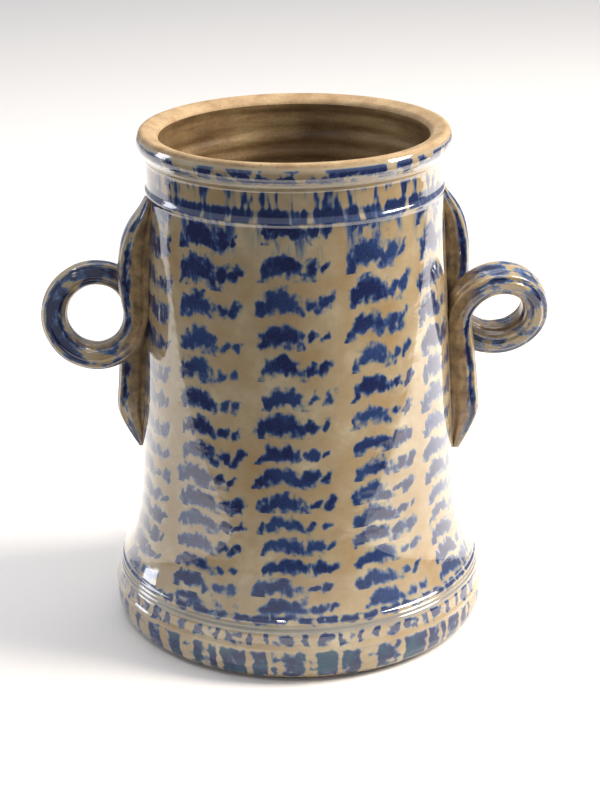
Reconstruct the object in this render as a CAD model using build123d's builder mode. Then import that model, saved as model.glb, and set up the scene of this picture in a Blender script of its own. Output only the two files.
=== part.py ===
from build123d import *
import math
import os

# Two-handled stoneware crock, thrown in one piece, with a pulled clay strap luted to each side.
# Each strap runs down the wall from under the collar, turns one full finger loop away from the
# wall and ends lower down in a thumbed point. Millimetres, +Z up, the origin at the middle of
# the foot's resting plane, the handles on the X axis.

# Overall
rim_z = 253.0            # crest of the rim
neck_r = 72.2            # outside radius of the collar
taper = 0.054            # how much the wall's radius grows for each millimetre down

# Rim and collar
crest_r = 73.6           # radius of the rim's highest ring
lip_r = 76.3             # widest radius of the lip
lip_drop = 5.0           # from the crest to the lip's widest ring
lip_low_drop = 8.6       # from the crest to the lip's lower edge
cove_drop = 13.0         # from the crest to the foot of the cove under the lip
mouth_r = 65.9           # radius of the short straight throat
mouth_drop = 3.2         # from the crest down to the throat's upper edge
throat = 5.0             # height of the straight throat
collar_h = 15.0          # height of the plain collar
bead_out = 0.9           # how far the collar's lower bead stands out
bead_h = 2.4

# Wall and floor
wall = 5.6
floor_z = 14.0           # top of the floor
floor_round = 13.0       # inside radius between floor and wall
recess = 4.0             # depth of the turned hollow under the floor

# Flared base
flare_out = 8.6          # extra radius where the bands start
flare_rise = 13.0        # height over which the flare fades to about a third
band_z = 33.5            # where the wall meets the bands
rib_h = 4.2              # half-round rib at the top of the bands
rib_out = 1.5
base_r = 94.6            # widest radius of the base
step_z = 19.0            # fine step between the flat band and the foot roll
step_in = 0.7
foot_r = 87.0            # outer radius of the resting ring
foot_width = 12.0        # width of the resting ring

# Handle strap and loop
strap_w = 18.6
strap_t = 12.8
strap_round = 5.0        # rounding of the strap's long edges
hole_r = 14.0            # finger hole
press = 2.8              # how deep the strap is pressed against the wall at the loop's height
loop_lean = 13.0         # degrees the loop leans over sideways
loop_gap = 0.5           # gap the loop leaves between its two ends, side by side
right_loop_drop = 65.0   # from the strap's upper end down to the right loop's centre
left_loop_drop = 60.5    # and to the left loop's, which was set a little higher
top_drop = 0.6           # from the collar's bead down to the strap's upper end
shoulder_drop = 39.0     # from the strap's upper end down to the lowest point of its shoulder
shoulder_out = 13.4      # how far the shoulder stands off the wall
tail_drop = 113.0        # from the strap's upper end down to where the tail starts to thin
tail_out = 12.4          # how far the tail stands off the wall there
tail_h = 22.0            # height of the thinning tail
tip_out = 0.8            # thickness left at the strap's two ends
lap = 1.6                # how far a strand's outer face lies inside the loop where they join
lap_h = 5.0              # how far a strand runs past the loop's centre height
sink = 4.6               # how far inside the wall's surface the straps are built before the cut


def cone_r(z):
    """Outside radius of the plain tapered wall, without the flare."""
    return neck_r + taper * (collar_z - z)


def wall_r(z):
    """Outside radius of the wall, with the flare of its base."""
    return cone_r(z) + flare_out * math.exp(-(z - band_z) / flare_rise)


cove_z = rim_z - cove_drop
collar_z = cove_z - collar_h
lip_low_z = rim_z - lip_low_drop
throat_top = rim_z - mouth_drop
throat_low = throat_top - throat
inner_neck_r = neck_r - wall
wall_points = 9
wall_top = collar_z - bead_h

# Crock body: one half section, turned round the axis
with BuildPart() as crock_body:
    with BuildSketch(Plane.XZ):
        with BuildLine():
            # hollow under the floor, resting ring and foot roll
            ring_r = foot_r - foot_width
            Polyline((0, recess), (ring_r - recess, recess), (ring_r, 0), (foot_r, 0))
            ThreePointArc((foot_r, 0), (base_r - 1.0, step_z * 0.32), (base_r, step_z))
            # flat band and rib
            band_r = base_r - step_in
            rib_low = (wall_r(band_z) + rib_out, band_z - rib_h)
            Line((base_r, step_z), (band_r, step_z + step_in))
            Line((band_r, step_z + step_in), rib_low)
            rib_mid = (wall_r(band_z) + rib_out + 0.6, band_z - rib_h * 0.45)
            ThreePointArc(rib_low, rib_mid, (wall_r(band_z), band_z))
            # wall, from the bands to the collar's bead
            rise = (wall_top - band_z) / (wall_points - 1) ** 2
            heights = [band_z + rise * i ** 2 for i in range(wall_points)]
            Spline(*[(wall_r(z), z) for z in heights])
            # bead and collar
            bead_mid = (neck_r + bead_out, collar_z - bead_h / 2)
            ThreePointArc((wall_r(wall_top), wall_top), bead_mid, (neck_r, collar_z))
            Line((neck_r, collar_z), (neck_r, cove_z))
            # cove, lip and the rim's inward slope
            cove_mid = (neck_r + 0.7, (cove_z + lip_low_z) / 2)
            ThreePointArc((neck_r, cove_z), cove_mid, (lip_r - 1.2, lip_low_z))
            lip = (lip_r, rim_z - lip_drop)
            ThreePointArc((lip_r - 1.2, lip_low_z), lip, (crest_r, rim_z))
            Line((crest_r, rim_z), (mouth_r, throat_top))
            # throat, inside wall and floor
            Polyline((mouth_r, throat_top), (mouth_r, throat_low), (inner_neck_r, throat_low - 1.2),
                     (inner_neck_r, collar_z))
            foot_in_r = cone_r(floor_z + floor_round) - wall
            Line((inner_neck_r, collar_z), (foot_in_r, floor_z + floor_round))
            corner = floor_round * (1 - math.sqrt(0.5))
            ThreePointArc((foot_in_r, floor_z + floor_round), (foot_in_r - corner, floor_z + corner),
                          (foot_in_r - floor_round, floor_z))
            Polyline((foot_in_r - floor_round, floor_z), (0, floor_z), (0, recess))
        make_face()
    revolve(axis=Axis.Z)
crock_body.part.label = "crock_body"

# Handles: two flat strands side by side on the wall, and one turn of loop between them
lane = strap_w / 2
loop_pitch = strap_w + loop_gap                   # sideways travel in one turn of the loop
turn_r = hole_r + strap_t / 2
strap_top = wall_top - top_drop
tail_z = strap_top - tail_drop
tip_z = tail_z - tail_h


def strand(outer_points, side):
    """A strand lying on the wall: its outline from the side, extruded to the strap's width."""
    first = outer_points[0][1]
    last = outer_points[-1][1]
    with BuildPart() as made:
        with BuildSketch(Plane.XZ.offset(-side * lane - strap_w / 2)):
            with BuildLine():
                Spline(*outer_points)
                Polyline(outer_points[-1], (cone_r(last) - sink, last),
                         (cone_r(first) - sink, first), outer_points[0])
            make_face()
        extrude(amount=strap_w)
        longs = [e for e in made.edges() if abs((e % 0.5).Y) < 0.01
                 and (e @ 0.5).X > cone_r((e @ 0.5).Z) + 3]
        fillet(longs, radius=strap_round)
    return made.part


def strap(loop_z):
    """One whole handle for the +X side, before it is cut to the wall."""
    loop_x = cone_r(loop_z) - press + strap_t + hole_r
    strap_out = loop_x - hole_r
    low = strap_top - shoulder_drop
    upper = strand([(cone_r(strap_top) + tip_out, strap_top),
                    (cone_r(strap_top) + shoulder_out * 0.62, strap_top - shoulder_drop * 0.34),
                    (cone_r(low) + shoulder_out * 0.95, strap_top - shoulder_drop * 0.62),
                    (cone_r(low) + shoulder_out, low),
                    (strap_out - lap, loop_z - lap_h)], 1)
    lower = strand([(strap_out - lap, loop_z + lap_h),
                    (cone_r(tail_z) + tail_out * 0.96, (loop_z + tail_z) / 2),
                    (cone_r(tail_z) + tail_out, tail_z),
                    (cone_r(tip_z) + tail_out * 0.50, (tail_z + tip_z) / 2),
                    (cone_r(tip_z) + tip_out, tip_z)], -1)
    lean = math.radians(loop_lean)
    axis_dir = (0, -math.cos(lean), -math.sin(lean))
    start = (loop_x, loop_pitch / 2 * math.cos(lean), loop_z + loop_pitch / 2 * math.sin(lean))
    turn = Helix(pitch=loop_pitch, height=loop_pitch, radius=turn_r)
    path = turn.moved(Location(Plane(origin=start, x_dir=(-1, 0, 0), z_dir=axis_dir)))
    with BuildPart() as loop:
        with BuildSketch(Plane(origin=path @ 0, x_dir=(1, 0, 0), z_dir=path % 0)):
            RectangleRounded(strap_t, strap_w, strap_round)
        sweep(path=path, is_frenet=True)
    with BuildPart() as whole:
        add(loop.part)
        add(upper)
        add(lower)
    return whole.part


os.makedirs("parts", exist_ok=True)
export_step(crock_body.part, "parts/crock_body.step")
print("crock_body volume", round(crock_body.part.volume))

right_strap = strap(strap_top - right_loop_drop)
with BuildPart() as right_handle:
    add(right_strap)
    add(crock_body.part, mode=Mode.SUBTRACT)
right_handle.part.label = "right_handle"
export_step(right_handle.part, "parts/right_handle.step")

left_strap = strap(strap_top - left_loop_drop).rotate(Axis.Z, 180)
with BuildPart() as left_handle:
    add(left_strap)
    add(crock_body.part, mode=Mode.SUBTRACT)
left_handle.part.label = "left_handle"
export_step(left_handle.part, "parts/left_handle.step")

for made in (right_handle.part, left_handle.part):
    print(made.label, "solids", len(made.solids()), "volume", round(made.volume))
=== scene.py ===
import math
from functools import partial, reduce

import bpy
import numpy as np
from mathutils import Matrix, Vector


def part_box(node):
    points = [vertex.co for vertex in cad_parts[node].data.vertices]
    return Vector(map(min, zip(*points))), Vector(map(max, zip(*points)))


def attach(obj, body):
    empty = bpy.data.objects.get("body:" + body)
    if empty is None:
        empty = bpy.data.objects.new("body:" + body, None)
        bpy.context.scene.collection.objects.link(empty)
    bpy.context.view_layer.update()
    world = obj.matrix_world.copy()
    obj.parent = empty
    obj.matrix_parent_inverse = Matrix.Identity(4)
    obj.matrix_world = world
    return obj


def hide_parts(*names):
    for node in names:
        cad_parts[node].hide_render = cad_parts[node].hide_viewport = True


# A two-handled stoneware crock: buff clay, clear glossy glaze, cobalt blue dabbed on with a cut
# sponge in upright stacks of marks. Lengths below are in millimetres and turned to metres once.

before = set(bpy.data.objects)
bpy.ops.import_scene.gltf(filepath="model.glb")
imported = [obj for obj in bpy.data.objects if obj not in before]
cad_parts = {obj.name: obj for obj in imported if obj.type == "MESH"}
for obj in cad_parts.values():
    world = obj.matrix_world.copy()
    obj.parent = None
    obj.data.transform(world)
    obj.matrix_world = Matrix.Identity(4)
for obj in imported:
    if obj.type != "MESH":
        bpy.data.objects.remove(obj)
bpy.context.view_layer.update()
mm = 0.001
toMm = (1000, 1000, 1000)     # object space is in metres

bodyLow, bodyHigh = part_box("crock_body")
totalHeight = bodyHigh[2] / mm
print("frame loaded, crock is", round(totalHeight), "mm tall")


def linear(hexColour):
    # sRGB hex to the linear values that shaders take
    parts = [int(hexColour[i:i + 2], 16) / 255 for i in (1, 3, 5)]
    return [c / 12.92 if c <= 0.04045 else ((c + 0.055) / 1.055) ** 2.4 for c in parts] + [1.0]


def smoothed(values, width):
    # gaussian smoothing along the first axis, with the ends held
    reach = int(width * 3)
    kernel = np.exp(-0.5 * (np.arange(-reach, reach + 1) / width) ** 2)
    kernel /= kernel.sum()
    flat = values.reshape(len(values), -1)
    padded = np.vstack([flat[:1]] * reach + [flat] + [flat[-1:]] * reach)
    rows = [np.convolve(padded[:, i], kernel, "valid") for i in range(flat.shape[1])]
    return np.array(rows).T.reshape(values.shape)


def gridMesh(name, points, closedRound=True, attributes=None):
    # points: rows x columns x 3, in mm; columns close round on themselves
    rows, columns = points.shape[:2]
    index = np.arange(rows * columns).reshape(rows, columns)
    nextIndex = np.roll(index, -1, axis=1)
    quads = np.stack([index[:-1], nextIndex[:-1], nextIndex[1:], index[1:]], axis=-1)
    if not closedRound:
        quads = quads[:, :-1]
    mesh = bpy.data.meshes.new(name)
    mesh.from_pydata((points.reshape(-1, 3) * mm).tolist(), [], quads.reshape(-1, 4).tolist())
    for key, values in (attributes or {}).items():
        layer = mesh.attributes.new(key, "FLOAT", "POINT")
        layer.data.foreach_set("value", np.asarray(values, dtype=np.float32).ravel())
    mesh.polygons.foreach_set("use_smooth", [True] * len(mesh.polygons))
    mesh.update()
    piece = bpy.data.objects.new(name, mesh)
    bpy.context.scene.collection.objects.link(piece)
    return piece


# short names for nodes: their type, settings, inputs in order and output
nodeKinds = {
    "place": ("ShaderNodeTexCoord", {}, (), "Object"),
    "direction": ("ShaderNodeTexCoord", {}, (), "Generated"),
    "measure": ("ShaderNodeAttribute", {}, (), "Fac"),
    "stretch": ("ShaderNodeVectorMath", {"operation": "MULTIPLY"}, (0, 1), 0),
    "apart": ("ShaderNodeSeparateXYZ", {}, (0,), None),
    "vector": ("ShaderNodeCombineXYZ", {}, (0, 1, 2), 0),
    "ramp": ("ShaderNodeMapRange", {"interpolation_type": "SMOOTHSTEP"}, (0, 1, 2, 3, 4), 0),
    "noise": ("ShaderNodeTexNoise", {}, ("Vector", "Scale", "Detail", "Roughness"), 0),
    "chance": ("ShaderNodeTexWhiteNoise", {"noise_dimensions": "3D"}, ("Vector",), 0),
    "cracks": ("ShaderNodeTexVoronoi", {"feature": "DISTANCE_TO_EDGE"}, ("Vector", "Scale"), 0),
    "colours": ("ShaderNodeValToRGB", {}, (0,), 0),
    "mix": ("ShaderNodeMix", {"data_type": "RGBA"}, (0, 6, 7), 2),
    "bump": ("ShaderNodeBump", {}, ("Height", "Distance", "Strength", "Normal"), 0),
    "shader": ("ShaderNodeBsdfPrincipled", {}, (), 0),
    "surface": ("ShaderNodeOutputMaterial", {}, (0,), None),
    "cameraSees": ("ShaderNodeLightPath", {}, (), "Is Camera Ray"),
    "background": ("ShaderNodeBackground", {}, (0, 1), 0),
    "surround": ("ShaderNodeOutputWorld", {}, (0,), None),
}


def addNode(tree, kind, *values, inputs=None, stops=(), **settings):
    # one node with its settings and links; a kind that isn't listed is a sum, such as ADD
    asSum = ("ShaderNodeMath", {"operation": kind}, (0, 1), 0)
    nodeType, fixed, sockets, output = nodeKinds.get(kind, asSum)
    node = tree.nodes.new(nodeType)
    for key, value in {**fixed, **settings}.items():
        setattr(node, key, value)
    for i, (position, colour) in enumerate(stops):
        elements = node.color_ramp.elements
        element = elements[i] if i < 2 else elements.new(position)
        element.position, element.color = position, linear(colour)
    for key, value in [*zip(sockets, values), *(inputs or {}).items()]:
        if isinstance(value, bpy.types.NodeSocket):
            tree.links.new(value, node.inputs[key])
        else:
            node.inputs[key].default_value = value
    return node.outputs if output is None else node.outputs[output]


def joined(node, operation, values):
    # one operation carried through a whole list
    return reduce(lambda total, value: node(operation, total, value), values)


def centred(node, value, reach):
    # 0 to 1 becomes a swing to both sides of zero, reach from end to end
    return node("MULTIPLY", node("SUBTRACT", value, 0.5), reach)


def newMaterial(name):
    material = bpy.data.materials.new(name)
    material.use_nodes = True
    tree = material.node_tree
    tree.nodes.clear()
    return material, tree, partial(addNode, tree)


def finishMaterial(tree, shaderInputs, bumps=()):
    # bumps: (height socket, distance in mm), laid over one another
    under = []
    for height, distance in bumps:
        under = [addNode(tree, "bump", height, distance * mm, 1.0, *under)]
    if under:
        shaderInputs["Normal"] = under[0]
    addNode(tree, "surface", addNode(tree, "shader", inputs=shaderInputs))


# Body: thrown walls, turned foot

bodySettings = {
    "roundSteps": 900,          # vertices round the wall
    "wobble": 0.35,             # mm the wall strays from a true circle
    "ringDepth": 0.32,          # mm depth of the finger marks inside
    "ringPitch": 8.5,           # mm between finger marks
}

collarLow = 225.0      # mm height of the bead under the collar
neckRadius = 72.2      # mm radius of the wall there
wallSlope = 0.054      # mm the wall widens for each mm down


def coneRadius(z):
    return neckRadius + wallSlope * (collarLow - z)


def flaredRadius(z):
    return coneRadius(z) + 8.6 * np.exp(-(z - 33.5) / 13.0)


def denseLine(corners, step=0.5):
    # straight runs between corners, cut into short steps
    out = []
    for (r0, z0), (r1, z1) in zip(corners[:-1], corners[1:]):
        count = max(2, int(math.hypot(r1 - r0, z1 - z0) / step))
        for t in np.linspace(0, 1, count, endpoint=False):
            out.append((r0 + (r1 - r0) * t, z0 + (z1 - z0) * t))
    out.append(corners[-1])
    return np.array(out)


def softProfile(corners, width=1.6, step=0.25):
    # a dense profile with its corners rounded as wet clay rounds them
    line = denseLine(corners, step)
    return smoothed(line, width / step)


wallHeights = np.linspace(34.2, 221.8, 320)
outerCorners = [(75.3, 251.4), (76.2, 249.6), (76.4, 247.6), (76.0, 245.6), (75.0, 244.2), (73.4, 242.6),
                (72.5, 240.6), (72.9, 239.8), (72.3, 239.0),
                (72.2, 236.0), (72.2, 226.8), (73.2, 225.2), (73.2, 223.8), (72.35, 222.6)]
outerTop = softProfile(outerCorners, 0.55)
outerWall = np.column_stack([flaredRadius(wallHeights), wallHeights])
baseCorners = [(flaredRadius(34.2), 34.2), (flaredRadius(33.4) - 0.5, 33.2), (91.6, 32.6), (92.1, 31.6),
               (91.4, 30.9), (92.3, 30.2), (92.6, 29.4), (91.8, 28.7), (92.7, 28.0), (93.0, 27.0),
               (92.5, 26.4), (93.3, 25.6), (93.9, 21.0), (94.7, 19.8),
               (95.1, 18.6), (94.5, 17.4), (94.9, 14.0), (94.6, 9.0), (93.2, 5.0), (90.6, 2.2),
               (88.6, 1.2)]
outerBase = softProfile(baseCorners, 0.4)
outsideProfile = np.vstack([outerTop[:-2], outerWall[::-1], outerBase[2:]])
rimProfile = softProfile([(65.6, 249.0), (66.0, 250.2), (67.2, 251.4), (70.0, 252.3), (73.0, 253.2),
                          (74.4, 252.9), (75.1, 252.1), (75.3, 251.4)], 0.4)
rimProfile[-1] = outsideProfile[0]
insideCorners = [(65.6, 249.0), (65.9, 246.5), (66.6, 244.6), (66.4, 243.4), (66.9, 238.0)]
insideCorners += [(coneRadius(z) - 5.6, z) for z in np.linspace(225, 30, 40)]
insideCorners += [(76.3, 22.0), (73.2, 17.2), (68.0, 14.9), (60.0, 14.2), (30.0, 14.0), (0.05, 14.0)]
insideProfile = softProfile(insideCorners, 0.8, 0.5)
insideProfile[0] = rimProfile[0]
footProfile = softProfile([(88.6, 1.2), (87.2, 0.25), (85.5, 0.0), (77.0, 0.0), (75.4, 0.6), (72.5, 3.4),
                           (70.0, 4.0), (30.0, 4.0), (0.05, 4.0)], 0.4)
footProfile[0] = outsideProfile[-1]


def thrown(name, profile, settings, rings=0.0):
    # turns a profile round the axis, a little out of true as a thrown pot is
    angles = np.linspace(0, 2 * math.pi, settings["roundSteps"], endpoint=False)
    radius = profile[:, :1] * np.ones((1, len(angles)))
    height = profile[:, 1:] * np.ones((1, len(angles)))
    around = angles[None, :]
    stray = np.sin(2 * around + 0.7 + height * 0.011) + 0.5 * np.sin(3 * around + height * 0.023)
    fade = np.clip((height - 3) / 40, 0, 1) * np.clip(radius / 60, 0, 1)
    radius = radius + settings["wobble"] * 0.5 * stray * fade
    if rings:
        turnPhase = 2 * math.pi * height / settings["ringPitch"] + around
        inWall = np.clip((height - 22) / 12, 0, 1) * np.clip((243 - height) / 6, 0, 1)
        radius = radius + rings * np.sin(turnPhase + 0.6 * np.sin(height * 0.09)) * inWall
    points = np.stack([radius * np.sin(around), -radius * np.cos(around), height], axis=-1)
    return gridMesh(name, points)


outside = thrown("crockOutside", outsideProfile, bodySettings)
rim = thrown("crockRim", rimProfile, bodySettings)
inside = thrown("crockInside", insideProfile, bodySettings, rings=bodySettings["ringDepth"])
underside = thrown("crockFoot", footProfile, bodySettings)
bodyPieces = [outside, rim, inside, underside]
print("body thrown,", sum(len(p.data.vertices) for p in bodyPieces), "vertices")


# Handles: one pulled strap each, turned once round and pressed on

handleSettings = {
    "width": 18.6,              # mm across the strap
    "thickness": 12.8,          # mm through it at the loop
    "hole": 14.0,               # mm radius of the finger hole
    "press": 2.8,               # mm the strap is pressed against the wall
    "leanDegrees": 13.0,        # tilt of the turn's axis
    "topEnd": 222.0,            # mm height of the strap's upper end
    "tipEnd": 87.4,             # mm height of its lower end
    "fluteDepth": 0.50,         # mm depth of the lengthwise grooves left by the fingers
    "flutes": 4,                # grooves on each rounded side
    "aroundSteps": 120,
}
loopHeights = {"right_handle": 157.0, "left_handle": 161.5}


def strapPath(settings, loopZ):
    # centre line, width direction, thickness and width of a whole strap on the +X side
    lean = math.radians(settings["leanDegrees"])
    thick = settings["thickness"]
    turnRadius = settings["hole"] + thick / 2
    loopX = coneRadius(loopZ) - settings["press"] + thick + settings["hole"]
    pitch = settings["width"] + 0.5
    places, across, depth, breadth = [], [], [], []
    under = 3.6
    topKnots = [0, 6.4, 13.4, 20, 25, 33, 41, settings["topEnd"] - loopZ - pitch / 2 * math.sin(lean)]
    topOuts = [0.8, 3.4, 8.8, 11.6, 12.9, 13.6, 13.4, loopX - settings["hole"] - coneRadius(loopZ)]
    for drop in np.arange(0, topKnots[-1], 0.6):
        z = settings["topEnd"] - drop
        out = coneRadius(z) + np.interp(drop, topKnots, topOuts)
        inner = coneRadius(z) - under
        places.append(((out + inner) / 2, settings["width"] / 2, z))
        across.append((0, 1, 0))
        depth.append(out - inner)
        breadth.append(settings["width"] * np.interp(drop, [0, 10, 30], [0.80, 0.96, 1.0]))
    turnSteps = int(2 * math.pi * turnRadius / 0.6)
    axisDir = np.array([0, -math.cos(lean), -math.sin(lean)])
    downDir = np.array([0, math.sin(lean), -math.cos(lean)])
    centre = np.array([loopX, 0, loopZ])
    for t in np.linspace(0, 1, turnSteps):
        turn = 2 * math.pi * t
        place = centre + axisDir * pitch * (t - 0.5)
        place = (place - turnRadius * math.cos(turn) * np.array([1, 0, 0])
                 + turnRadius * math.sin(turn) * downDir)
        places.append(tuple(place))
        across.append(tuple(-axisDir))
        depth.append(thick * (1 + 0.05 * math.sin(turn)))
        breadth.append(settings["width"] * (1 - 0.03 * math.sin(turn)))
    lowStart = loopZ - pitch / 2 * math.sin(lean)
    lowKnots = [0, (lowStart - 108) * 0.5, lowStart - 108, lowStart - settings["tipEnd"]]
    lowOuts = [loopX - settings["hole"] - coneRadius(loopZ), 12.0, 12.8, 0.7]
    for drop in np.arange(0.6, lowKnots[-1], 0.6):
        z = lowStart - drop
        out = coneRadius(z) + np.interp(drop, lowKnots, lowOuts)
        inner = coneRadius(z) - under
        places.append(((out + inner) / 2, -settings["width"] / 2, z))
        across.append((0, 1, 0))
        depth.append(out - inner)
        toTip = lowKnots[-1] - drop
        breadth.append(settings["width"] * np.interp(toTip, [0, 8, 22], [0.72, 0.92, 1.0]))
    soft = 5.0
    places = smoothed(np.array(places), soft)
    across = smoothed(np.array(across, dtype=float), soft * 2)
    return places, across, smoothed(np.array(depth), soft), smoothed(np.array(breadth), soft)


def pulledStrap(name, settings, loopZ, turned):
    places, across, depth, breadth = strapPath(settings, loopZ)
    tangent = np.gradient(places, axis=0)
    tangent /= np.linalg.norm(tangent, axis=1)[:, None]
    side = across - (across * tangent).sum(1)[:, None] * tangent
    side /= np.linalg.norm(side, axis=1)[:, None]
    facing = np.cross(tangent, side)
    if facing[5, 0] < 0:
        facing = -facing
    length = np.concatenate([[0], np.cumsum(np.linalg.norm(np.diff(places, axis=0), axis=1))])
    count = settings["aroundSteps"]
    angle = np.linspace(0, 2 * math.pi, count, endpoint=False)
    power = 2 / 2.7
    bulge = np.sign(np.cos(angle)) * np.abs(np.cos(angle)) ** power
    spread = np.sign(np.sin(angle)) * np.abs(np.sin(angle)) ** power
    # grooves run along the rounded shoulders and fade on the flat faces
    shoulder = np.clip(np.abs(np.sin(2 * angle)) * 1.6, 0, 1)
    groove = np.cos(angle * 2 * settings["flutes"] + 0.6)
    ripple = settings["fluteDepth"] * groove[None, :] * shoulder[None, :] * np.ones((len(places), 1))
    half = depth[:, None] / 2 * bulge[None, :]
    wide = breadth[:, None] / 2 * spread[None, :]
    size = np.sqrt(half ** 2 + wide ** 2) + 1e-6
    grow = 1 + ripple / size
    points = (places[:, None, :] + facing[:, None, :] * (half * grow)[:, :, None]
              + side[:, None, :] * (wide * grow)[:, :, None])
    lumps = 0.14 * np.sin(length * 0.13 + 1.0) + 0.05 * np.sin(length * 0.41)
    points = points + facing[:, None, :] * (lumps[:, None] * np.abs(bulge)[None, :])[:, :, None]
    ends = []
    for first, shrink in ((0, -1), (-1, 1)):
        for t in (0.55, 0.9, 0.999):
            middle = places[first]
            ends.append(middle + (points[first] - middle) * math.sqrt(1 - t * t)
                        + tangent[first] * shrink * 1.2 * t)
    points = np.concatenate([np.array(ends[:3])[::-1], points, np.array(ends[3:])])
    copies = np.repeat(np.arange(len(places)), [4] + [1] * (len(places) - 2) + [4])
    if turned:
        points = points * np.array([-1, -1, 1])
    alongMm = np.repeat(length[copies][:, None], count, axis=1)
    aroundMm = np.repeat((angle / (2 * math.pi) * 52)[None, :], len(copies), axis=0)
    attributes = {"along": alongMm, "around": aroundMm,
                  "groove": ripple[copies] / settings["fluteDepth"],
                  "outward": np.repeat(bulge[None, :], len(copies), axis=0)}
    return gridMesh(name, points, attributes=attributes)


rightStrap = pulledStrap("rightStrap", handleSettings, loopHeights["right_handle"], False)
leftStrap = pulledStrap("leftStrap", handleSettings, loopHeights["left_handle"], True)
print("straps pulled,", len(rightStrap.data.vertices), "vertices each")


# Outside glaze: sponge-printed cobalt under a clear gloss, pooled and bled so each mark has a
# dark middle, a blue-green edge and fine upright threads

glazeSettings = {
    "columns": 11,              # upright stacks of marks round the wall
    "columnTurn": -1.6,         # degrees that all the stacks are turned
    "stackShift": 0.62,         # and the part of a stack's width they are moved by
    "wallRadius": 76.0,         # mm, the radius that the wall is unrolled at
    "rowStart": 35.0,           # mm height of the lowest row of marks
    "rowPitch": 9.0,            # mm between rows there
    "rowGrowth": 0.05,          # mm more pitch for each mm of height
    # each small print: mm right and up, mm wide and tall, its slant, and which random value sizes it
    "smallPrints": [(8.4, -0.9, 3.9, 3.3, 0.15, 2), (14.8, -0.5, 3.3, 2.9, 0.55, 4),
                    (-14.6, -2.6, 2.1, 4.2, 0.1, 3)],
    # each row of dabs on the foot: mm pitch, seed, mm top and bottom, and how thin the dabs are
    "footRows": [(9.0, 1.0, 36.4, 30.2, -1.9), (7.4, 3.0, 27.5, 19.4, -1.05),
                 (12.5, 5.0, 18.8, 1.8, -1.05)],
    "clay": "#a49274", "clayPale": "#b8aa8d", "clayWarm": "#987f5a",
    # the bare foot edge's colour below is darkened as painted shade where the foot meets the floor
    "clayBareShaded": "#4a3524", "speck": "#6a5638", "crackle": "#5b4a33",
    "wash": "#7f9588", "bleed": "#52728a", "teal": "#2a5f68", "blue": "#2f4a78", "navy": "#19234b",
    "roughness": 0.055,
    "coat": 1.0,
}


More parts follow.
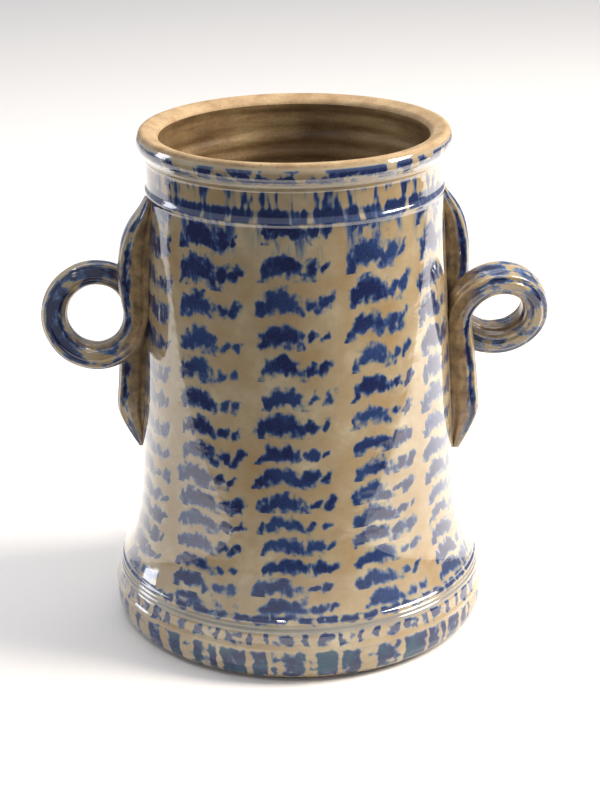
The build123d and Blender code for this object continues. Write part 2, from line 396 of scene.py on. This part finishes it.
def spongedGlaze(settings):
    material, tree, node = newMaterial("SpongedCobaltUnderGloss")
    scaled = node("stretch", node("place"), toMm)
    apart = node("apart", scaled)
    x, y, z = apart[0], apart[1], apart[2]
    angle = node("ARCTAN2", x, node("MULTIPLY", y, -1.0))
    # position on the unrolled wall, in mm
    flatX = node("MULTIPLY", angle, settings["wallRadius"])
    flat = node("vector", flatX, z, node("MULTIPLY", node("ABSOLUTE", node("ADD", angle, -3.0)), 2.0))

    # marks stray a little sideways and up, more than their edges do
    strayX = centred(node, node("noise", flat, 0.17, 1.0, 0.5), 6.0)
    strayZ = centred(node, node("noise", node("stretch", flat, (1.1, 0.8, 1)), 0.16, 1.0, 0.5), 6.2)
    turns = node("DIVIDE", node("SUBTRACT", angle, math.radians(settings["columnTurn"])),
                 2 * math.pi / settings["columns"])
    turns = node("ADD", turns, settings["stackShift"])
    column = node("FLOOR", turns)
    stackPitch = round(2 * math.pi * settings["wallRadius"] / settings["columns"], 1)
    cellX = centred(node, node("FRACT", turns), stackPitch)
    # rows stand further apart higher up, and each stack starts at its own height
    climb = node("SUBTRACT", z, settings["rowStart"])
    reached = node("ADD", 1.0, node("DIVIDE", climb, settings["rowPitch"] / settings["rowGrowth"]))
    rowCount = node("DIVIDE", node("LOGARITHM", reached, math.e), settings["rowGrowth"])
    rowCount = node("ADD", rowCount, node("chance", node("vector", column, 3.0, 7.0)))
    row = node("FLOOR", rowCount)
    rowPitch = node("ADD", settings["rowPitch"], node("MULTIPLY", climb, settings["rowGrowth"]))
    cellZ = centred(node, node("FRACT", rowCount), rowPitch)
    pick = [node("chance", node("vector", column, row, 11.0 + i * 3)) for i in range(5)]
    px = joined(node, "ADD", [cellX, strayX, centred(node, pick[0], 3.0)])
    pz = joined(node, "ADD", [cellZ, strayZ, centred(node, pick[1], 1.6)])
    pz = node("DIVIDE", pz, node("DIVIDE", node("ADD", rowPitch, 4.0), 17.0))

    # main mark: an arched pad with a hooked left leg
    fromMiddle = node("ADD", px, 6.0)
    left = node("MINIMUM", node("ADD", fromMiddle, 5.0), 0.0)
    droop = node("ADD", node("MULTIPLY", node("MULTIPLY", fromMiddle, fromMiddle), 0.034),
                 node("MULTIPLY", node("MULTIPLY", left, left), 0.15))
    archZ = node("ADD", node("SUBTRACT", pz, 0.8), droop)
    padWide = node("ADD", 9.6, node("MULTIPLY", pick[2], 2.4))
    ex = node("DIVIDE", fromMiddle, padWide)
    ez = node("DIVIDE", archZ, node("ADD", 3.3, node("MULTIPLY", pick[3], 1.4)))
    pad = node("SUBTRACT", 1.0, node("SQRT", node("ADD", node("POWER", node("ABSOLUTE", ex), 3.0),
               node("MULTIPLY", ez, ez))))
    # two smaller prints to its right, the second slanted, and the hooked end at its left
    dots = []
    for offset, high, wide, tall, slant, which in settings["smallPrints"]:
        dx = node("SUBTRACT", px, offset)
        dz = node("SUBTRACT", node("SUBTRACT", pz, high), node("MULTIPLY", dx, slant))
        grown = node("ADD", 0.55, node("MULTIPLY", pick[which], 0.65))
        ddx = node("DIVIDE", dx, node("MULTIPLY", grown, wide))
        ddz = node("DIVIDE", dz, node("MULTIPLY", grown, tall))
        dots.append(node("SUBTRACT", 1.0, node("SQRT", node("ADD", node("MULTIPLY", ddx, ddx),
                                                            node("MULTIPLY", ddz, ddz)))))
    shape = joined(node, "MAXIMUM", [pad] + dots)
    shape = node("MAXIMUM", shape, -3.2)
    lumpy = centred(node, node("noise", flat, 0.27, 1.5, 0.5), 1.7)
    threads = node("noise", node("stretch", flat, (1.0, 0.34, 1.0)), 0.50, 1.0, 0.5)
    lumpy = node("ADD", lumpy, centred(node, threads, 0.85))
    printed = node("ADD", shape, lumpy)
    wallInk = node("ramp", printed, -0.82, 0.62)
    strength = node("ramp", node("noise", flat, 0.03, 1.0, 0.5), 0.3, 0.7, 0.78, 1.08)
    wallInk = node("MULTIPLY", wallInk, strength)
    # under the collar the sponge was dragged, so marks run together in upright streaks
    streaks = node("noise", node("stretch", flat, (1.0, 0.22, 1.0)), 0.24, 2.0, 0.5)
    columnsMask = node("ramp", node("ABSOLUTE", node("ADD", cellX, 1.0)), 12.0, 20.0, 1.0, 0.35)
    dragged = node("MULTIPLY", node("ramp", streaks, 0.38, 0.68), columnsMask)
    dragged = node("MULTIPLY", dragged, node("ramp", z, 196.0, 222.0, 0.0, 0.85))
    wallInk = node("MAXIMUM", wallInk, dragged)

    # collar: upright dabs, packed close, darkest in a row over the bead
    dabs = node("noise", node("stretch", flat, (1.0, 0.30, 1.0)), 0.26, 1.0, 0.5)
    lowRow = node("ramp", z, 232.5, 229.0)
    collarInk = node("ramp", node("ADD", dabs, node("MULTIPLY", lowRow, 0.21)), 0.42, 0.72, 0.0, 0.95)
    lipDabs = node("noise", flat, 0.15, 2.0, 0.5)
    lipInk = node("MULTIPLY", node("ramp", lipDabs, 0.37, 0.56), node("ramp", z, 250.8, 249.4, 0.0, 0.95))
    lipInk = node("MULTIPLY", lipInk, node("ramp", z, 242.0, 245.0, 0.25, 1.0))

    # foot: short upright dabs in rows between the turned lines
    beat = node("noise", node("vector", flatX, 0.0, 5.0), 0.16, 1.0, 0.5)
    bentX = node("ADD", flatX, centred(node, node("noise", flat, 0.20, 1.5, 0.5), 7.0))
    ragged = centred(node, node("noise", node("stretch", flat, (1.0, 0.8, 1.0)), 0.33, 1.5, 0.5), 3.2)
    edgeNoise = node("noise", node("stretch", flat, (1.0, 0.5, 1.0)), 0.22, 1.0, 0.5)
    uneven = node("ADD", z, centred(node, edgeNoise, 6.0))

    def dabRow(period, seed, high, low, thin):
        wave = node("SINE", node("ADD", node("MULTIPLY", bentX, 2 * math.pi / period),
                                 node("MULTIPLY", beat, 7.0 + seed)))
        within = node("MULTIPLY", node("ramp", uneven, low, low + 2.6),
                      node("ramp", uneven, high, high - 2.6))
        return node("MULTIPLY", node("ramp", node("ADD", wave, ragged), thin, thin + 1.9), within)

    footInk = joined(node, "MAXIMUM", [dabRow(*values) for values in settings["footRows"]])
    inLines = node("MULTIPLY", node("ramp", z, 25.8, 26.6), node("ramp", z, 30.9, 30.0))
    lineInk = node("MULTIPLY", inLines, 0.36)
    footInk = node("MAXIMUM", footInk, lineInk)

    onWall = node("MULTIPLY", node("ramp", z, 34.0, 37.0), node("ramp", z, 225.2, 223.4))
    onCollar = node("MULTIPLY", node("ramp", z, 223.6, 225.4), node("ramp", z, 240.2, 238.6))
    onLip = node("ramp", z, 238.8, 240.4)
    onFoot = node("ramp", z, 37.0, 34.0)
    ink = joined(node, "ADD", [node("MULTIPLY", wallInk, onWall), node("MULTIPLY", collarInk, onCollar),
                               node("MULTIPLY", lipInk, onLip), node("MULTIPLY", footInk, onFoot)])
    fine = node("noise", node("stretch", flat, (1.0, 0.5, 1.0)), 1.7, 2.0, 0.6)
    ink = node("MULTIPLY", ink, node("ramp", fine, 0.25, 0.75, 0.90, 1.06))
    ink = node("MINIMUM", node("MAXIMUM", ink, 0.0), 1.0)

    buff = node("colours", node("noise", flat, 0.045, 3.0, 0.6), stops=[
        (0.30, settings["clayWarm"]), (0.55, settings["clay"]), (0.75, settings["clayPale"])])
    specks = node("ramp", node("noise", flat, 2.4, 1.0, 0.5), 0.66, 0.74)
    buff = node("mix", node("MULTIPLY", specks, 0.35), buff, linear(settings["speck"]))
    cobalt = node("colours", ink, stops=[
        (0.0, settings["wash"]), (0.34, settings["bleed"]), (0.62, settings["blue"]),
        (0.98, settings["navy"])])
    cover = node("ramp", ink, 0.04, 0.78)
    greenish = node("ramp", node("noise", flat, 0.08, 2.0, 0.5), 0.42, 0.66)
    greened = node("mix", node("MULTIPLY", greenish, 0.6), cobalt, linear(settings["teal"]))
    midInk = node("ramp", ink, 0.75, 0.35)
    cobalt = node("mix", node("MAXIMUM", midInk, node("ramp", z, 24.0, 17.0, 0.0, 0.75)), cobalt, greened)
    colour = node("mix", cover, buff, cobalt)
    # the glaze thins to bare clay along the foot's lower edge; its dark brown is painted shade where the
    # foot meets the floor
    bareShadedEdge = node("ramp", z, 2.6, 1.6)
    colour = node("mix", bareShadedEdge, colour, linear(settings["clayBareShaded"]))
    rough = node("ADD", settings["roughness"], node("MULTIPLY", bareShadedEdge, 0.5))
    crackle = node("cracks", flat, 0.42)
    crackleLine = node("ramp", crackle, 0.0, 0.035, 1.0, 0.0)
    colour = node("mix", node("MULTIPLY", crackleLine, 0.16), colour, linear(settings["crackle"]))
    ripple = node("noise", node("stretch", flat, (1.0, 1.6, 1.0)), 0.06, 2.0, 0.5)
    coat = node("ramp", z, 14.0, 22.0, 0.2, settings["coat"])      # thin where it ran off the foot
    finishMaterial(tree, {"Base Color": colour, "Roughness": rough, "IOR": 1.52,
                          "Coat Weight": coat, "Coat Roughness": 0.02, "Coat IOR": 1.6},
                   [(ripple, 0.5), (fine, 0.012), (ink, 0.03)])
    return material


# Bare clay: unglazed buff stoneware, scraped smooth when leather hard, so it stays dull and gritty

claySettings = {"light": "#b19873", "dark": "#917452", "grit": "#4a3724"}
shadedFootClaySettings = {"light": "#8d6f4d", "dark": "#5c432c", "grit": "#3a2a1c"}       # darker than the rim's clay: painted shade under the crock


def bareClay(settings, name):
    material, tree, node = newMaterial(name)
    scaled = node("stretch", node("place"), toMm)
    cloud = node("noise", scaled, 0.09, 3.0, 0.6)
    grain = node("noise", scaled, 1.5, 3.0, 0.65)
    grit = node("ramp", node("noise", scaled, 1.1, 1.0, 0.5), 0.64, 0.70)
    tone = node("ADD", node("MULTIPLY", cloud, 0.7), node("MULTIPLY", grain, 0.3))
    colour = node("colours", tone, stops=[(0.36, settings["dark"]), (0.62, settings["light"])])
    colour = node("mix", node("MULTIPLY", grit, 0.5), colour, linear(settings["grit"]))
    rough = node("ramp", grain, 0.2, 0.8, 0.62, 0.85)
    finishMaterial(tree, {"Base Color": colour, "Roughness": rough}, [(grain, 0.10), (cloud, 0.25)])
    return material


# Inside glaze: thin liner glaze, poured and drained, so it is olive brown, half dull and darker
# in the finger marks

linerSettings = {"olive": "#765f41", "brown": "#503b27", "pale": "#9c8863"}


def linerGlaze(settings):
    material, tree, node = newMaterial("PouredLinerGlaze")
    scaled = node("stretch", node("place"), toMm)
    bands = node("noise", node("stretch", scaled, (0.12, 0.12, 1.0)), 0.16, 3.0, 0.6)
    cloud = node("noise", scaled, 0.03, 3.0, 0.55)
    grain = node("noise", scaled, 0.9, 2.0, 0.6)
    tone = joined(node, "ADD", [node("MULTIPLY", bands, 0.5), node("MULTIPLY", cloud, 0.35),
                                node("MULTIPLY", grain, 0.15)])
    colour = node("colours", tone, stops=[
        (0.36, settings["brown"]), (0.50, settings["olive"]), (0.66, settings["pale"])])
    rough = node("ramp", grain, 0.2, 0.8, 0.30, 0.46)
    finishMaterial(tree, {"Base Color": colour, "Roughness": rough, "IOR": 1.5},
                   [(bands, 0.2), (grain, 0.05)])
    return material


# Strap glaze: cobalt brushed along the strap, broken over its ridges, thin on the flanks, whose brown is
# painted shade

strapSettings = {
    "cream": "#a89a7c", "buff": "#957e56", "ridge": "#a99c84",
    "grey": "#7a8182", "blue": "#35547f", "navy": "#161d42",
    # brown earth colours: the thin glaze on the hole side, and the painted shade on the flanks by the
    # wall
    "earthAndShadeDark": "#57432e", "earthAndShadePale": "#9a8059",
}


def strapGlaze(settings):
    material, tree, node = newMaterial("BrushedCobaltOnStrap")
    along, around, groove, outward = [node("measure", attribute_name=key)
                                      for key in ("along", "around", "groove", "outward")]
    flat = node("vector", along, around, 0.0)
    scaled = node("stretch", node("place"), toMm)
    apart = node("apart", scaled)
    patches = node("noise", node("stretch", flat, (0.75, 1.0, 1.0)), 0.11, 3.0, 0.6)
    strokes = node("noise", node("stretch", flat, (0.16, 1.0, 1.0)), 0.55, 2.0, 0.6)
    ink = joined(node, "ADD", [node("MULTIPLY", patches, 1.5), node("MULTIPLY", strokes, 0.55),
                               node("MULTIPLY", groove, -0.07)])
    ink = node("ramp", ink, 0.86, 1.24)
    colour = node("colours", node("noise", scaled, 0.07, 3.0, 0.6), stops=[
        (0.3, settings["buff"]), (0.7, settings["cream"])])
    cobalt = node("colours", ink, stops=[
        (0.0, settings["grey"]), (0.45, settings["blue"]), (0.9, settings["navy"])])
    colour = node("mix", node("ramp", ink, 0.05, 0.45), colour, cobalt)
    # flanks of the parts lying on the wall have hardly any glaze, so they are dull, and their brown
    # colour is painted shade
    radius = node("SQRT", node("ADD", node("MULTIPLY", apart[0], apart[0]),
                  node("MULTIPLY", apart[1], apart[1])))
    nearWall = node("ramp", radius, 92.0, 84.0)
    edgeNoise = node("noise", scaled, 0.16, 2.0, 0.5)
    edge = node("ADD", outward, centred(node, edgeNoise, 0.5))
    shadedThinFlank = node("MULTIPLY", node("ramp", edge, 0.42, 0.12), nearWall)
    # brown earth colours, used for the hole side and as painted shade on the flanks
    earthAndShade = node("colours", node("noise", scaled, 0.18, 3.0, 0.6), stops=[
        (0.3, settings["earthAndShadeDark"]), (0.7, settings["earthAndShadePale"])])
    colour = node("mix", shadedThinFlank, colour, earthAndShade)
    # the side that faces the finger hole is smooth, brown and thinly glazed
    holeSide = node("MULTIPLY", node("ramp", edge, 0.45, 0.80), node("ramp", radius, 85.5, 89.5))
    holeSide = node("MULTIPLY", holeSide, node("ramp", node("noise", scaled, 0.10, 1.0, 0.5), 0.60, 0.50))
    colour = node("mix", holeSide, colour, earthAndShade)
    ridge = node("ramp", groove, 0.3, 1.2)
    colour = node("mix", node("MULTIPLY", ridge, 0.28), colour, linear(settings["ridge"]))
    dry = node("MAXIMUM", shadedThinFlank, node("ramp", edge, 0.45, 0.80, 0.0, 0.7))
    rough = node("ramp", dry, 0.0, 1.0, 0.06, 0.36)
    grain = node("noise", scaled, 0.9, 2.0, 0.6)
    pits = node("ramp", node("noise", scaled, 0.6, 1.0, 0.5), 0.68, 0.74, 1.0, 0.0)
    finishMaterial(tree, {"Base Color": colour, "Roughness": rough, "IOR": 1.52, "Coat Weight": 0.6,
                          "Coat Roughness": 0.02}, [(grain, 0.03), (pits, 0.18)])
    return material


outside.data.materials.append(spongedGlaze(glazeSettings))
rim.data.materials.append(bareClay(claySettings, "ScrapedBareClay"))
underside.data.materials.append(bareClay(shadedFootClaySettings, "ShadedFootClay"))
inside.data.materials.append(linerGlaze(linerSettings))
strapMaterial = strapGlaze(strapSettings)
for strap in (rightStrap, leftStrap):
    strap.data.materials.append(strapMaterial)

for piece in bodyPieces:
    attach(piece, "root")
    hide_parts("crock_body")
for piece, node in ((rightStrap, "right_handle"), (leftStrap, "left_handle")):
    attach(piece, "root")
    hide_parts(node)
print("materials on")


# Stage: a plain pale floor, flat, whose near edge is an arc

stageSettings = {
    "floor": "#f0edea", "thread": "#c9c6c2",
    "front": -0.290, "shift": 0.05,     # metres to the near edge's tip, in front and sideways
    "curve": 0.85, "back": 0.40,        # how fast that edge draws back, and how far
    "side": 1.6, "far": 2.7,            # metres to the sides and to the far edge
    "room": "#45413d", "ceiling": "#b9bdc4",
}


def layFloor(settings):
    # one flat sheet; its near edge bounds how far up the wall mirrors it
    columns = np.linspace(-settings["side"], settings["side"], 81)
    edge = settings["front"] + settings["curve"] * (columns - settings["shift"]) ** 2
    edge = np.minimum(edge, settings["back"])
    steps = np.linspace(0, 1, 24) ** 2
    rows = [[(x, e + (settings["far"] - e) * t, 0.0) for x, e in zip(columns, edge)] for t in steps]
    points = np.array(rows) / mm
    sheet = gridMesh("floorSweep", points, closedRound=False)
    material, tree, node = newMaterial("PaleWovenCotton")
    weave = node("noise", node("place"), 380.0, 2.0, 0.6)
    colour = node("mix", node("MULTIPLY", weave, 0.12),
                  linear(settings["floor"]), linear(settings["thread"]))
    finishMaterial(tree, {"Base Color": colour, "Roughness": 0.9}, [(weave, 0.15)])
    sheet.data.materials.append(material)
    return sheet


floor = layFloor(stageSettings)

world = bpy.data.worlds.new("studio")
bpy.context.scene.world = world
world.use_nodes = True
worldTree = world.node_tree
worldTree.nodes.clear()
sky = partial(addNode, worldTree)
# a pale ceiling over a dim room, so upright glaze stays deep and the foot's flare turns pale;
# seen directly, the room is as pale as the floor
lookUp = sky("apart", sky("direction"))[2]
glow = sky("mix", sky("ramp", lookUp, -0.09, -0.03),
           linear(stageSettings["room"]), linear(stageSettings["ceiling"]))
glow = sky("mix", sky("cameraSees"), glow, linear(stageSettings["floor"]))
sky("surround", sky("background", glow, 1.0))

# places and sizes in metres, power in watts
lightSettings = [
    {"name": "windowLeft", "at": (-1.35, 0.55, 0.62), "size": (0.34, 1.1), "power": 6.0,
     "colour": "#f4f6ff"},
    {"name": "keyRight", "at": (1.25, -0.14, 1.14), "size": (0.7, 0.8), "power": 50.0,
     "colour": "#fff6ea"},
    {"name": "topSoft", "at": (0.1, 0.5, 1.7), "size": (1.3, 1.0), "power": 9.0,
     "colour": "#fffaf4"},
    {"name": "frontSmall", "at": (-0.30, -0.8, 1.35), "size": (0.10, 0.06), "power": 3.0,
     "colour": "#fffaf2"},
]


def addLight(settings):
    lamp = bpy.data.lights.new(settings["name"], "AREA")
    lamp.shape = "RECTANGLE"
    lamp.size, lamp.size_y = settings["size"]
    lamp.energy = settings["power"]
    lamp.color = linear(settings["colour"])[:3]
    holder = bpy.data.objects.new(settings["name"], lamp)
    holder.location = settings["at"]
    toMiddle = Vector((0, 0, 0.12)) - holder.location
    holder.rotation_euler = toMiddle.to_track_quat("-Z", "Y").to_euler()
    bpy.context.scene.collection.objects.link(holder)


for settings in lightSettings:
    addLight(settings)

# angles in degrees, places in metres, lens in mm
cameraSettings = {"azimuth": -4.5, "distance": 0.93625, "height": 0.4715, "aside": 0.0013,
                  "down": 21.04, "roll": -0.65, "lens": 88.9}


def addCamera(settings):
    data = bpy.data.cameras.new("camera")
    data.lens = settings["lens"]
    data.sensor_width = 36
    holder = bpy.data.objects.new("camera", data)
    turn = math.radians(settings["azimuth"])
    spin = Matrix.Rotation(turn, 4, "Z")
    tilt = Matrix.Rotation(math.radians(90 - settings["down"]), 4, "X")
    roll = Matrix.Rotation(math.radians(settings["roll"]), 4, "Z")
    place = spin @ Vector((settings["aside"], -settings["distance"], settings["height"]))
    holder.matrix_world = Matrix.Translation(place) @ spin @ tilt @ roll
    bpy.context.scene.collection.objects.link(holder)
    bpy.context.scene.camera = holder


addCamera(cameraSettings)
bpy.context.scene.view_settings.view_transform = "Standard"
print("stage, lights and camera set")
